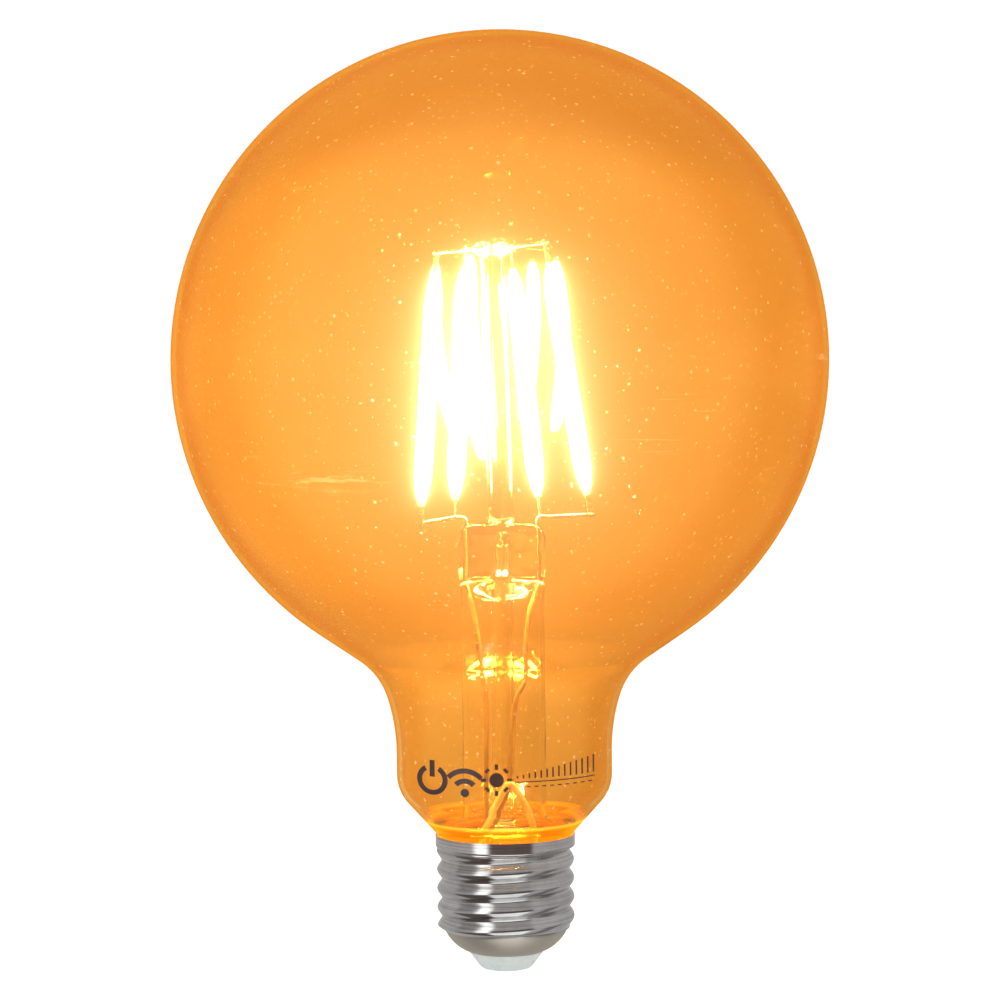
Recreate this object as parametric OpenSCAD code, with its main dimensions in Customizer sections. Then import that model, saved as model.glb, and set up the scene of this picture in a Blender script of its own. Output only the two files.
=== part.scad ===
// Globe filament lamp, 125 mm, with a medium Edison screw cap and a radio driver inside the cap.
// Millimetres. +Z runs up the lamp's axis, and the origin is the tip of the centre contact.
// The lamp's front is towards -Y.

/* [Globe] */
// Largest diameter of the blown glass globe
globe_d = 125; // [122:1:126]
// Thickness of the blown glass
globe_wall = 0.9; // [0.7:0.1:1.1]
// Height of the globe's centre above the contact's tip
globe_z = 117; // [115:0.5:119]
// Outer diameter of the glass neck
neck_d = 41.3; // [40:0.1:42.5]
// Outer diameter of the glass where it enters the cap
rim_d = 24.8; // [24.6:0.1:25]

/* [Glass mount] */
// Outer diameter of the stem tube
stem_d = 16; // [15.6:0.1:16.4]
// Wall of the stem tube
stem_wall = 0.8; // [0.7:0.05:0.9]
// Height of the top of the flattened press
press_top = 86; // [84:0.5:88]
// Height of the flattened press
press_h = 10.5; // [9:0.5:12]
// Width of the flattened press
press_w = 16.6; // [16.2:0.1:17]
// Thickness of the flattened press
press_t = 5; // [4.8:0.1:5.6]
// Outer diameter of the exhaust tube
exhaust_d = 4.6; // [4.2:0.1:4.7]
// Diameter of the centre post
post_d = 4.8; // [4.4:0.1:5]
// Sideways lean of the centre post, in degrees
post_lean = 1.6; // [0:0.1:2]
// Height of the button on top of the post
button_z = 137.1; // [136:0.1:138]

/* [Filaments] */
// Length of the coated part of one filament
coat_len = 44.8; // [41:0.1:45]
// Diameter of the phosphor coat
coat_d = 3.4; // [3:0.1:3.6]
// Number of LED chips along one filament
chip_count = 26; // [18:1:28]
// How far each end tab reaches past the wire it is welded to
tab_over = 0.6; // [0.4:0.1:1]

/* [Cap] */
// Outer diameter of the smooth collar
collar_d = 26.8; // [26.8:0.05:26.9]
// Diameter over the thread's crests
crest_d = 26.4; // [26.1:0.05:26.4]
// Diameter at the thread's roots
root_d = 24.6; // [24.5:0.05:24.8]
// Rise of the thread in one turn
pitch = 3.629; // [3.6:0.001:3.65]
// Thickness of the cap's sheet metal
cap_wall = 0.3; // [0.25:0.05:0.35]
// Height of the collar's rim above the contact's tip
cap_h = 26.3; // [26.1:0.1:26.4]

/* [Driver] */
// Width of the driver board
board_w = 19.6; // [18:0.2:20]
// Height of the driver board
board_h = 14.4; // [14:0.2:14.8]

/* [Hidden] */
$fn = 96;

eps = 0.01;
seam = 0.02;             // gap left between pieces that are fused, soldered or bedded together

// Points of an arc in a profile: centre, radius, first and last angle, number of steps
function arc(c, r, a0, a1, steps) =
    [for (i = [0:steps]) let (a = a0 + (a1 - a0) * i / steps) [c[0] + r * cos(a), c[1] + r * sin(a)]];

// Points of a cubic curve from a to d, without its last point
function curve(a, b, c, d, steps) =
    [for (i = [0:steps - 1]) let (t = i / steps, s = 1 - t)
        s * s * s * a + 3 * s * s * t * b + 3 * s * t * t * c + t * t * t * d];

function unit(v) = v / norm(v);

// One solid tube along a list of points. Each ring's frame is carried on from the ring before it.
module tube_along(points, d, sides = 10) {
    last = len(points) - 1;
    tangents = [for (i = [0:last]) unit(points[min(i + 1, last)] - points[max(i - 1, 0)])];
    frames = [for (i = 0, n = unit(cross(tangents[0], [0.1, 1, 0.2])); i <= last; i = i + 1,
        n = i > last ? n : unit(n - (n * tangents[i]) * tangents[i])) n];
    rings = [for (i = [0:last])
        let (n = frames[i], b = cross(tangents[i], n))
        for (k = [0:sides - 1])
            let (a = 360 * k / sides) points[i] + d / 2 * (cos(a) * n + sin(a) * b)];
    walls = [for (i = [0:last - 1], k = [0:sides - 1])
        let (m = (k + 1) % sides, p = i * sides, q = p + sides)
        each [[p + k, q + k, q + m], [p + k, q + m, p + m]]];
    start = [for (k = [0:sides - 1]) k];
    end = [for (k = [sides - 1:-1:0]) last * sides + k];
    polyhedron(points = rings, faces = concat(walls, [start, end]), convexity = 6);
}

// Puts what is drawn along Z, from -length/2 to length/2, between two points
module between(top, foot, turn = 0) {
    v = top - foot;
    heading = atan2(v[1], v[0]);
    translate((top + foot) / 2) rotate([0, acos(v[2] / norm(v)), heading])
        rotate([0, 0, turn - heading]) children();
}

// A ring turned from a profile of radius and height
module ring(points) { rotate_extrude() polygon(points); }

// ---------- Globe ----------

globe_r = globe_d / 2;
neck_r = neck_d / 2;
rim_r = rim_d / 2;
flank = 55.6;            // where the sphere leaves its circle, and the slope of the flank below it
knee = 17.5;             // slope where the tight bend above the neck becomes a wide one
tight_r = 14;
wide_r = 36;
flank_len = (globe_r * cos(flank) - tight_r * (cos(knee) - cos(flank))
    - wide_r * (1 - cos(knee)) - neck_r) / sin(flank);
tight_c = [(globe_r + tight_r) * cos(flank) - flank_len * sin(flank),
    globe_z - (globe_r + tight_r) * sin(flank) - flank_len * cos(flank)];
wide_c = [neck_r + wide_r, tight_c[1] + (tight_r - wide_r) * sin(knee)];
shoulder_r = 8;
shoulder = 41.8;         // slope of the cone between neck and cap
shoulder_c = [neck_r - shoulder_r, 38];
foot_r = 3;
cone_end_r = rim_r + foot_r * (1 - cos(shoulder));
cone_start = shoulder_c + shoulder_r * [cos(shoulder), -sin(shoulder)];
foot_c = [rim_r + foot_r,
    cone_start[1] - (cone_start[0] - cone_end_r) / tan(shoulder) - foot_r * sin(shoulder)];
rim_z = 24;

// The glass profile from the crown down to the rim, moved inwards by w
function globe_line(w) = concat(
    arc([0, globe_z], globe_r - w, 90, -flank, 36),
    arc(tight_c, tight_r + w, 180 - flank, 180 - knee, 8),
    arc(wide_c, wide_r + w, 180 - knee, 180, 5),
    arc(shoulder_c, shoulder_r - w, 0, -shoulder, 7),
    arc(foot_c, foot_r + w, 180 - shoulder, 180, 5),
    [[rim_r - w, rim_z]]);

function reversed(list) = [for (i = [len(list) - 1:-1:0]) list[i]];

module globe() {
    color([1, 0.62, 0.2, 0.5]) ring(concat(globe_line(0), reversed(globe_line(globe_wall))));
}

// ---------- Stem, exhaust tube and post ----------

stem_r = stem_d / 2;
press_foot = press_top - press_h;
tube_top = 72;
flare_r = 2;
flare_turn = 86.5;       // the flare spreads out almost level
flare_c = [stem_r + flare_r, 30.9];
fused_w = globe_wall + seam;
seal_len = 2;            // how far the flare is fused up the cone of the neck
seal_foot = 24.1;
lead_x = 6.8;
lead_d = 0.7;
blow_hole_z = 83;
corner_r = 1.8;

// The flattened press: a plate with rounded top corners, on a foot that blends into the tube
module press_plate() {
    rotate([90, 0, 0]) linear_extrude(press_t, center = true) {
        translate([-press_w / 2, press_foot]) square([press_w, press_h - corner_r]);
        translate([-press_w / 2 + corner_r, press_foot]) square([press_w - 2 * corner_r, press_h]);
        for (x = [-1, 1]) translate([x * (press_w / 2 - corner_r), press_top - corner_r])
            circle(corner_r, $fn = 48);
    }
}

module tube_to_press(r, w, t, top) {
    hull() {
        translate([0, 0, tube_top]) cylinder(h = eps, r = r, $fn = 48);
        translate([0, 0, top]) linear_extrude(eps) square([w, t], center = true);
    }
}

module stem() {
    seal_top = foot_c + (foot_r + fused_w) * [-cos(shoulder), sin(shoulder)]
        + seal_len * [sin(shoulder), cos(shoulder)];
    inside_w = fused_w + stem_wall;
    color([0.9, 0.95, 0.95, 0.5]) difference() {
        union() {
            ring(concat([[stem_r, tube_top + eps]],
                arc(flare_c, flare_r, 180, 180 + flare_turn, 8),
                [seal_top],
                arc(foot_c, foot_r + fused_w, 180 - shoulder, 180, 5),
                [[rim_r - fused_w, seal_foot], [rim_r - inside_w, seal_foot]],
                arc(foot_c, foot_r + inside_w, 180, 180 - shoulder, 5),
                arc(flare_c, flare_r + stem_wall, 180 + flare_turn, 180, 8),
                [[stem_r - stem_wall, tube_top + eps]]));
            difference() {
                tube_to_press(stem_r, press_w, press_t, press_foot + 0.2);
                tube_to_press(stem_r - stem_wall, press_w - 1.4, press_t - 1.8, press_foot - 0.6);
            }
            press_plate();
        }
        translate([0, 0, 60]) cylinder(h = press_foot - 59.5 + seam, d = exhaust_d + 2 * seam);
        cylinder(h = blow_hole_z, r = 1.3);
        translate([0, -1.9, blow_hole_z]) sphere(1.6, $fn = 48);
        for (x = [-lead_x, lead_x]) translate([x, 0, 70]) cylinder(h = 20, d = lead_d + 2 * seam);
    }
}

module exhaust_tube() {
    r = exhaust_d / 2;
    tip_z = 27;
    color([0.9, 0.95, 0.95, 0.5]) ring(concat(
        [[r, press_foot + 0.5]],
        arc([0, tip_z + r], r, 0, -90, 8),
        [[0, tip_z + 1.2]],
        arc([0, tip_z + 3], 1.6, -90, 0, 6),
        [[1.6, press_foot + 0.5]]));
}

module leaned() {
    translate([0, 0, press_top]) rotate([0, -post_lean, 0]) translate([0, 0, -press_top]) children();
}

button_r = 3.65;
button_h = 2.4;
support_d = 0.62;
support_in = 0.9;
support_out = 11.1;
support_turns = [180, 245, 66, 0];    // headings of the four wires in the button
support_rise = [-1.6, 0, 0, 5];           // how steeply each climbs outwards, in degrees
support_z = button_z + 1.2;

module support_bar(k, d) {
    leaned() translate([0, 0, support_z]) rotate([0, 90 - support_rise[k], support_turns[k]])
        translate([0, 0, support_in]) cylinder(h = support_out - support_in, d = d, $fn = 32);
}

module centre_post() {
    color([0.9, 0.95, 0.95, 0.5]) difference() {
        leaned() {
            translate([0, 0, press_top - 1]) cylinder(h = button_z - press_top + 1.3, d = post_d);
            ring(concat([[0, button_z]],
                arc([button_r - 1, button_z + 1], 1, -90, 60, 8),
                [[button_r - 1.6, button_z + button_h], [0, button_z + button_h]]));
        }
        translate([0, 0, press_top - 5]) cube([20, 20, 10], center = true);
        for (k = [0:3]) support_bar(k, support_d + 2 * seam);
    }
}

module support_wire(k) { color([0.75, 0.75, 0.78]) support_bar(k, support_d); }

// ---------- Filaments ----------

// Each filament hangs beside a support wire and stands beside a lead-in wire.
hang_r = 10.4;
tab_t = 0.2;
tab_w = 0.9;
hang_gap = (support_d + tab_t) / 2 + seam;
feet = [[-15.6, -0.86, 85.9], [-9, -0.9, 87.3], [7.4, 0.9, 87.4], [17.05, 0.86, 87.3]];
chip_step = 40.5 / chip_count;
coat_taper = 4.5;

function hang_point(k) = let (a = support_turns[k], side = k < 2 ? -1 : 1,
    z = support_z - press_top + hang_r * tan(support_rise[k]),
    x = hang_r * cos(a) - side * hang_gap * sin(a), y = hang_r * sin(a) + side * hang_gap * cos(a))
    [x * cos(post_lean) - z * sin(post_lean), y, press_top + z * cos(post_lean) + x * sin(post_lean)];

module on_filament(k) { between(hang_point(k), feet[k], support_turns[k]) children(); }

module strip_shape() { cube([tab_w, 0.3, coat_len - 1], center = true); }

module chips_shape() {
    for (i = [0:chip_count - 1])
        translate([0, 0.25, (i - (chip_count - 1) / 2) * chip_step]) cube([0.5, 0.2, 1], center = true);
}

module tabs_shape(k) {
    tip = norm(hang_point(k) - feet[k]) / 2 + tab_over;
    tab_len = tip - (coat_len - 1) / 2;
    for (s = [-1, 1]) translate([0, 0, s * (tip - tab_len / 2)])
        cube([tab_w, tab_t, tab_len], center = true);
}

// The coat is thick along its length and draws in to a blunt point at each end
module coat_shape() {
    half = coat_len / 2;
    end_r = 0.65;
    top = [for (a = [0:10:90])
        [end_r + (coat_d / 2 - end_r) * cos(a), half - coat_taper + coat_taper * sin(a)]];
    ring(concat([[0, -half]], [for (p = reversed(top)) [p[0], -p[1]]], top, [[0, half]]));
}

module filament_coat(k) {
    color([1, 0.85, 0.3]) on_filament(k) difference() {
        coat_shape();
        strip_shape();
        chips_shape();
        tabs_shape(k);
    }
}

module filament_strip(k) { color([0.95, 0.95, 0.93]) on_filament(k) strip_shape(); }
module filament_tabs(k) { color([0.75, 0.75, 0.78]) on_filament(k) tabs_shape(k); }
module led_chips(k) { color([0.5, 0.6, 0.9]) on_filament(k) chips_shape(); }

// ---------- Wires through the press and down the stem ----------

// The left and right wires differ a little, as hand-set wires do. side is 0 for left, 1 for right.
lead_in_ends = [[-16.5, -0.4, 86], [17.95, 0.4, 87.4]];

module lead_in(side) {
    x = side == 0 ? -1 : 1;
    end = lead_in_ends[side];
    color([0.75, 0.75, 0.78]) tube_along(concat(
        curve([x * lead_x, 0, press_top], [x * lead_x, 0, press_top + 1.3],
            [x * (lead_x + 0.7), 0, press_top + 1.3], [x * (lead_x + 2.3), 0, press_top + 1.1], 7),
        [[x * (lead_x + 2.3), 0, press_top + 1.1], end]), lead_d);
}

module seal_wire(side) {
    color([0.72, 0.3, 0.2]) translate([side == 0 ? -lead_x : lead_x, 0, press_foot - 0.8])
        cylinder(h = press_h + 0.8, d = lead_d, $fn = 32);
}

lead_paths = [
    [[-6.8, 0, 74.5], [-6.2, -0.4, 72.5], [-5.4, -1, 68], [-4.2, -1.4, 60], [-3.3, -1.6, 52],
        [-3.4, -1.6, 42], [-3.5, -1.5, 34], [-3.2, -1.6, 28], [-2.4, -2.2, 23.5], [-2.2, -0.7, 20.8]],
    [[6.8, 0, 74.5], [6.2, -0.5, 72.5], [4.9, -1.6, 68], [4.3, -2, 62], [4.1, -2.3, 57.2],
        [2, -2.9, 51.2], [0.8, -3, 36.5], [-1.2, -3.6, 30.5], [-3.6, -4.1, 24.5], [-4.6, -0.7, 20.8]]];
copper_d = 0.5;
sleeve_d = 1;

function part_of(list, first, last) = [for (i = [first:last]) list[i]];
// A path with n points on each smooth stretch between its given points
function smoothed(p, n = 4) = concat(
    [for (i = [0:len(p) - 2]) let (
        a = p[i], d = p[i + 1],
        ta = (p[i + 1] - p[max(i - 1, 0)]) / 6, td = (p[min(i + 2, len(p) - 1)] - p[i]) / 6)
        each curve(a, a + ta, d - td, d, n)], [p[len(p) - 1]]);

module outer_lead(side) {
    color([0.8, 0.45, 0.25]) tube_along(smoothed(part_of(lead_paths[side], 0, 9), 3), copper_d);
}

module lead_sleeve(side) {
    path = smoothed(part_of(lead_paths[side], 1, 8), 3);
    color([0.93, 0.9, 0.8]) difference() {
        tube_along(path, sleeve_d);
        tube_along(smoothed(part_of(lead_paths[side], 0, 9), 3), copper_d + 0.04);
    }
}

module antenna_wire() {
    color([0.93, 0.9, 0.8]) tube_along(smoothed([[-6.2, -3.6, 22.6], [-5, -4.2, 25], [-2.4, -4.3, 30.5],
        [0.1, -4.4, 35.6], [0.9, -4.45, 36.4], [1.8, -4.4, 35.6], [4.3, -4.2, 31], [5.7, -3.6, 26],
        [5.9, -1.6, 23], [4.8, 1.9, 21.7]], 3), 1.3);
}

// ---------- Cap ----------

collar_r = collar_d / 2;
collar_foot = 24;        // where the collar steps in towards the thread
crest_r = crest_d / 2;
root_r = root_d / 2;
thread_top = 23.5;
thread_foot = 8.1;
crest_z = 3.24;          // height of a crest at the +X side, modulo the pitch
bowl_c = [4.76, 11.07];
bowl_r = 7.72;
bowl_start = -28;
bowl_end = -71;          // where the metal stops around the insulator
thread_steps = 40;
turn_steps = 60;

// How much of the thread's depth is left at a height: none at the ends of the threaded part
function thread_fade(z) = let (
    up = min(1, max(0, (thread_top - z) / 0.7)), down = min(1, max(0, (z - thread_foot) / 0.9)))
    (3 - 2 * up) * up * up * (3 - 2 * down) * down * down;
// Round crests, and roots a little narrower than the crests
function thread_wave(z, a) = let (c = 0.5 + 0.5 * cos(360 * ((z - crest_z) / pitch - a / 360))) pow(c, 0.75);
function thread_r(z, a) = root_r + (crest_r - root_r) * thread_fade(z) * thread_wave(z, a);

module threaded_tube() {
    zs = [for (i = [0:thread_steps]) thread_foot + (thread_top - thread_foot) * i / thread_steps];
    points = [for (w = [0, cap_wall], z = zs, k = [0:turn_steps - 1])
        let (a = 360 * k / turn_steps, r = thread_r(z, a) - w) [r * cos(a), r * sin(a), z]];
    inner = (thread_steps + 1) * turn_steps;
    top = thread_steps * turn_steps;
    sides = [for (i = [0:thread_steps - 1], k = [0:turn_steps - 1])
        let (m = (k + 1) % turn_steps, p = i * turn_steps, q = p + turn_steps)
        each [[p + k, q + k, q + m], [p + k, q + m, p + m],
            [inner + p + k, inner + q + m, inner + q + k], [inner + p + k, inner + p + m, inner + q + m]]];
    ends = [for (k = [0:turn_steps - 1]) let (m = (k + 1) % turn_steps)
        each [[k, m, inner + m], [k, inner + m, inner + k],
            [top + k, top + inner + m, top + m], [top + k, top + inner + k, top + inner + m]]];
    polyhedron(points = points, faces = concat(sides, ends), convexity = 10);
}

lap = 0.2;               // how much thicker the sheet is where the thread runs out

module cap_shell() {
    w = cap_wall;
    out = root_r + lap;
    in = root_r - w - lap;
    color([0.75, 0.75, 0.76]) {
        threaded_tube();
        ring([[out, thread_top - 0.3], [out, thread_top], [collar_r, collar_foot], [collar_r, cap_h],
            [collar_r - w, cap_h], [collar_r - w, collar_foot + 0.15], [in, thread_top + 0.3],
            [in, thread_top - 0.3]]);
        ring(concat([[out, thread_foot + 0.2], [out, thread_foot - 0.1]],
            arc(bowl_c, bowl_r, bowl_start, bowl_end, 10),
            arc(bowl_c, bowl_r - w, bowl_end, bowl_start, 10),
            [[in, thread_foot - 0.1], [in, thread_foot + 0.2]]));
    }
}

insulator_top = 5.4;

module cap_insulator() {
    color([0.92, 0.93, 0.92]) difference() {
        ring(concat([[0, 0.4]],
            arc([4.1, 1.7], 1.3, -90, -38, 5),
            [[7.1, 3.5], [7.1, 4.15], [8.5, 4.85], [8.7, insulator_top], [5.6, insulator_top],
                [4.6, 2.9], [2.6, 2.6], [2.6, insulator_top], [0, insulator_top]]));
        translate([0, 0, -1]) cylinder(h = 8, r = 1.1);
        translate([0, 0, -1]) cylinder(h = 2, r = 2.5);
    }
}

module centre_contact() {
    color([0.8, 0.7, 0.45]) ring(concat([[0, 0]],
        arc([1.9, 0.5], 0.5, -90, 0, 5),
        [[2.4, 1], [1.05, 1], [1.05, 6.2], [0.9, 6.5], [0, 6.5]]));
}

module basing_cement() {
    outside = collar_r - cap_wall - seam;
    low = 24.2;
    high_a = 155;        // where the cement stops on the glass below the collar's rim
    high_z = foot_c[1] + (foot_r - seam) * sin(high_a);
    color([0.85, 0.8, 0.7]) ring(concat([[outside, low], [outside, high_z]],
        arc(foot_c, foot_r - seam, high_a, 180, 5), [[rim_r + seam, low]]));
}

// ---------- Driver inside the cap ----------

sleeve_r = 11.5;
board_t = 1;
board_foot = 7.4;
board_top = board_foot + board_h;
face = board_t / 2;      // distance of either face of the board from the lamp's axis

module block(x, y, z, w, t, h) { translate([x - w / 2, y - t / 2, z]) cube([w, t, h]); }

module board_sleeve() {
    color([0.2, 0.2, 0.22]) difference() {
        translate([0, 0, 8.4]) cylinder(h = 13, r = sleeve_r);
        translate([0, 0, 8.3]) cylinder(h = 13.2, r = sleeve_r - 0.3);
        translate([-sleeve_r, 0, 12]) rotate([0, 90, 0]) cylinder(h = 2, r = 0.8, center = true);
    }
}

module driver_board() {
    color([0.1, 0.35, 0.2]) difference() {
        block(0, 0, board_foot, board_w, board_t, board_h);
        for (x = [-2.2, -4.6]) translate([x, 0, board_top - 1]) rotate([90, 0, 0])
            cylinder(h = 2, r = 0.35, center = true, $fn = 24);
        for (s = [-1, 1]) translate([s * board_w / 2, 0, board_foot]) rotate([0, 45, 0])
            cube([3, 3, 3], center = true);
    }
}

module bridge_rectifier() {
    color([0.12, 0.12, 0.13]) {
        block(-5.4, face + 0.95, 8.6, 4.6, 1.5, 3.9);
        for (x = [-1, 1], s = [0, 1])
            block(-5.4 + x * 1.3, face + 0.1, s == 0 ? 8 : 12.4, 0.6, 0.2, 0.8);
    }
}

module driver_chip() {
    color([0.12, 0.12, 0.13]) {
        block(5, face + 0.85, 8.8, 4.9, 1.4, 3.6);
        for (i = [-1.5:1:1.5], s = [0, 1])
            block(5 + i * 1.27, face + 0.1, s == 0 ? 8.2 : 12.3, 0.4, 0.2, 0.7);
    }
}

module reservoir_capacitor() {
    color([0.15, 0.25, 0.5]) {
        translate([-4.8, -face - 3.5, 9.6]) cylinder(h = 9, d = 6.3);
        for (x = [-6, -3.6]) {
            translate([x, -face - 3.5, 8.7]) cylinder(h = 0.9 + eps, d = 0.5, $fn = 24);
            block(x, -face - 1.875, 8.4, 0.5, 3.75, 0.5);
        }
    }
}

module inductor_core() {
    color([0.3, 0.3, 0.32]) translate([4.2, -face - 3.6, 9.4]) ring(
        [[0, 0], [3.1, 0], [3.1, 1.3], [1.4, 1.3], [1.4, 6.7], [3.1, 6.7], [3.1, 8], [0, 8]]);
}

module inductor_winding() {
    color([0.75, 0.4, 0.2]) translate([4.2, -face - 3.6, 9.4]) ring(
        [[1.4, 1.3], [2.8, 1.3], [2.8, 6.7], [1.4, 6.7]]);
}

module chip_resistors() {
    color([0.15, 0.15, 0.16]) {
        for (x = [-0.6, 1.5]) for (z = [8.9, 11.2]) block(x, face + 0.25, z, 1.25, 0.5, 2);
        for (x = [-8.6, 8.6]) block(x, face + 0.25, 13.2, 1.25, 0.5, 2);
    }
}

module chip_capacitors() {
    color([0.7, 0.55, 0.4]) {
        for (x = [-8.6, 8.6]) block(x, face + 0.35, 16.2, 1.25, 0.7, 2);
        for (z = [9.8, 13]) block(0.2, -face - 0.35, z, 1.25, 0.7, 2);
    }
}

radio_y = face + 2.2;
radio_foot = 13.6;

module radio_board() {
    color([0.08, 0.1, 0.3]) block(0, radio_y + 0.4, radio_foot, 13, 0.8, 8.6);
}

module radio_pins() {
    color([0.8, 0.7, 0.4]) for (x = [-5:2:5])
        block(x, (face + radio_y) / 2, radio_foot + 0.4, 0.6, radio_y - face, 0.6);
}

module radio_chip() {
    color([0.12, 0.12, 0.13]) block(-1.6, radio_y + 1.2, radio_foot + 2.4, 4, 0.8, 4);
}

module radio_crystal() {
    color([0.8, 0.8, 0.78]) block(2.2, radio_y + 1.15, radio_foot + 3.2, 2, 0.7, 2.5);
}

module radio_shield() {
    color([0.75, 0.76, 0.78]) difference() {
        block(0, radio_y + 1.7, radio_foot + 1.4, 9, 1.8, 6);
        block(0, radio_y + 1.5, radio_foot + 1.6, 8.6, 1.8, 5.6);
    }
}

module fusible_resistor() {
    color([0.55, 0.7, 0.75]) translate([0.4, -4.4, 7]) rotate([0, 90, 0])
        cylinder(h = 6.2, d = 2.4, center = true);
}

module centre_contact_wire() {
    color([0.8, 0.8, 0.8]) {
        tube_along(smoothed([[-2.72, -4.4, 7], [-3.6, -4.3, 7], [-4, -3.2, 6.6], [-2.8, -1.4, 6.3],
            [-1.4, -0.4, 6]], 3), 0.5, 8);
        tube_along(smoothed([[3.52, -4.4, 7], [4.4, -4.3, 7.1], [4.9, -3, 7.3], [4.9, -1.6, 7.7],
            [4.9, -0.7, 8]], 3), 0.5, 8);
    }
}

module side_contact_wire() {
    color([0.8, 0.8, 0.8]) tube_along(smoothed([[-9.85, 0, 11.8], [-10.6, 0, 12],
        [-11.6, 0, 12], [-12.7, 0, 12.1]], 3), 0.6, 8);
}

globe();
stem();
exhaust_tube();
centre_post();
for (k = [0:3]) {
    support_wire(k);
    filament_coat(k);
    filament_strip(k);
    filament_tabs(k);
    led_chips(k);
}
for (side = [0, 1]) {
    end = side == 0 ? "left" : "right";
    lead_in(side);
    seal_wire(side);
    outer_lead(side);
    lead_sleeve(side);
}
antenna_wire();
basing_cement();
cap_shell();
cap_insulator();
centre_contact();
board_sleeve();
driver_board();
bridge_rectifier();
driver_chip();
reservoir_capacitor();
inductor_core();
inductor_winding();
chip_resistors();
chip_capacitors();
radio_board();
radio_chip();
radio_shield();
radio_crystal();
radio_pins();
fusible_resistor();
centre_contact_wire();
side_contact_wire();
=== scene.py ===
import math

import bpy
from mathutils import Matrix, Vector, noise


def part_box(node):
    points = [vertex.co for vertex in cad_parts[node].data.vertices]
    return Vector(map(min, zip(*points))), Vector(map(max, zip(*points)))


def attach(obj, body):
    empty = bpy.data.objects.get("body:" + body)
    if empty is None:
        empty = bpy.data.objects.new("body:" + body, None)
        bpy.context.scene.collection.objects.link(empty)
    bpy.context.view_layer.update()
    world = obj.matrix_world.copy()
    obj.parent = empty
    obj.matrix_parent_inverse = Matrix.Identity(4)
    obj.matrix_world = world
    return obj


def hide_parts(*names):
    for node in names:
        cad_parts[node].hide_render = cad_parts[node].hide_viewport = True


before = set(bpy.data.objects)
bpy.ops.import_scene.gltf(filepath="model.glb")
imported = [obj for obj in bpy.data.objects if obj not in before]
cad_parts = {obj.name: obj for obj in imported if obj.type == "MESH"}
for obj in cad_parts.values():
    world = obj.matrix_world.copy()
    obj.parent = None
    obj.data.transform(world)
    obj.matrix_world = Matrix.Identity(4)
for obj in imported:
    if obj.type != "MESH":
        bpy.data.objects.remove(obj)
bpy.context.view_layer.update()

# ---------------------------------------------------------------- Camera
# A long lens a little over half a metre away, level with the globe's middle. It looks slightly
# downwards, and is turned a touch off upright.

mm = 0.001
camera_distance = 560 * mm
camera_height = 115 * mm
aim_height = 90.4 * mm
view_width = 191.1 * mm
camera_side = -0.27 * mm
camera_roll = -0.65
film_width = 36

camera_data = bpy.data.cameras.new("camera")
camera_data.sensor_width = film_width
camera_data.lens = film_width * camera_distance / view_width
camera_data.clip_start = 0.01
camera = bpy.data.objects.new("camera", camera_data)
bpy.context.collection.objects.link(camera)
dip = math.atan2(camera_height - aim_height, camera_distance)
roll = Matrix.Rotation(math.radians(camera_roll), 4, "Z")
upright = Matrix.Rotation(math.radians(90) - dip, 4, "X")
place = Matrix.Translation((camera_side, -camera_distance, camera_height))
camera.matrix_world = place @ upright @ roll
bpy.context.scene.camera = camera

scene = bpy.context.scene
scene.view_settings.view_transform = "Standard"
scene.cycles.max_bounces = 24
scene.cycles.transmission_bounces = 24
scene.cycles.glossy_bounces = 10
scene.cycles.transparent_max_bounces = 16
scene.cycles.sample_clamp_indirect = 120

# The filaments are far brighter than the rest, so the lens spreads a little of their light.
# The tint keeps that glow as orange as the glass makes it
scene.use_nodes = True
lens = scene.node_tree
glow = lens.nodes.new("CompositorNodeGlare")
glow.glare_type = "BLOOM"
glow.quality = "HIGH"
glow.inputs["Threshold"].default_value = 3.0
glow.inputs["Strength"].default_value = 0.95
glow.inputs["Tint"].default_value = (1.0, 0.62, 1.6, 1)
glow.inputs["Size"].default_value = 0.66
glow.inputs["Maximum"].default_value = 14.0
glow.inputs["Clamp"].default_value = True
lens.links.new(lens.nodes["Render Layers"].outputs["Image"], glow.inputs["Image"])
lens.links.new(glow.outputs["Image"], lens.nodes["Composite"].inputs["Image"])


# ---------------------------------------------------------------- Floor and studio light
# A white sweep, lit so evenly that it reads as white all over, with soft light from all round. The
# glass mirrors the lamp's own amber light on the sweep. A small tent of cards stands round the cap,
# so that its metal mirrors a strip of light, a bright table and a dark room.

floor_size = 8
amber_glow = (0.8, 0.25, 0.012)

bpy.ops.object.select_all(action="DESELECT")
bpy.ops.mesh.primitive_plane_add(size=floor_size, location=(0, 0, 0))
floor = bpy.context.object
floor.name = "floor"
floor.visible_glossy = False
floor.visible_transmission = False

# The paper shines by itself, so that the filaments' light hardly tints it
paper = bpy.data.materials.new("sweep_paper")
paper.use_nodes = True
paper_shader = paper.node_tree.nodes["Principled BSDF"]
paper_shader.inputs["Base Color"].default_value = (0.1, 0.1, 0.1, 1)
paper_shader.inputs["Roughness"].default_value = 0.9
paper_shader.inputs["Specular IOR Level"].default_value = 0
paper_shader.inputs["Emission Color"].default_value = (1, 1, 1, 1)
paper_shader.inputs["Emission Strength"].default_value = 1.0
floor.data.materials.append(paper)

world = bpy.data.worlds.new("studio")
scene.world = world
world.use_nodes = True
sky = world.node_tree
sky.nodes.clear()


def math_node(tree, operation, *values):
    """A Math node whose inputs are numbers or other nodes' sockets."""
    node = tree.nodes.new("ShaderNodeMath")
    node.operation = operation
    for socket, value in zip(node.inputs, values):
        if isinstance(value, (int, float)):
            socket.default_value = value
        else:
            tree.links.new(value, socket)
    return node.outputs[0]


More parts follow.
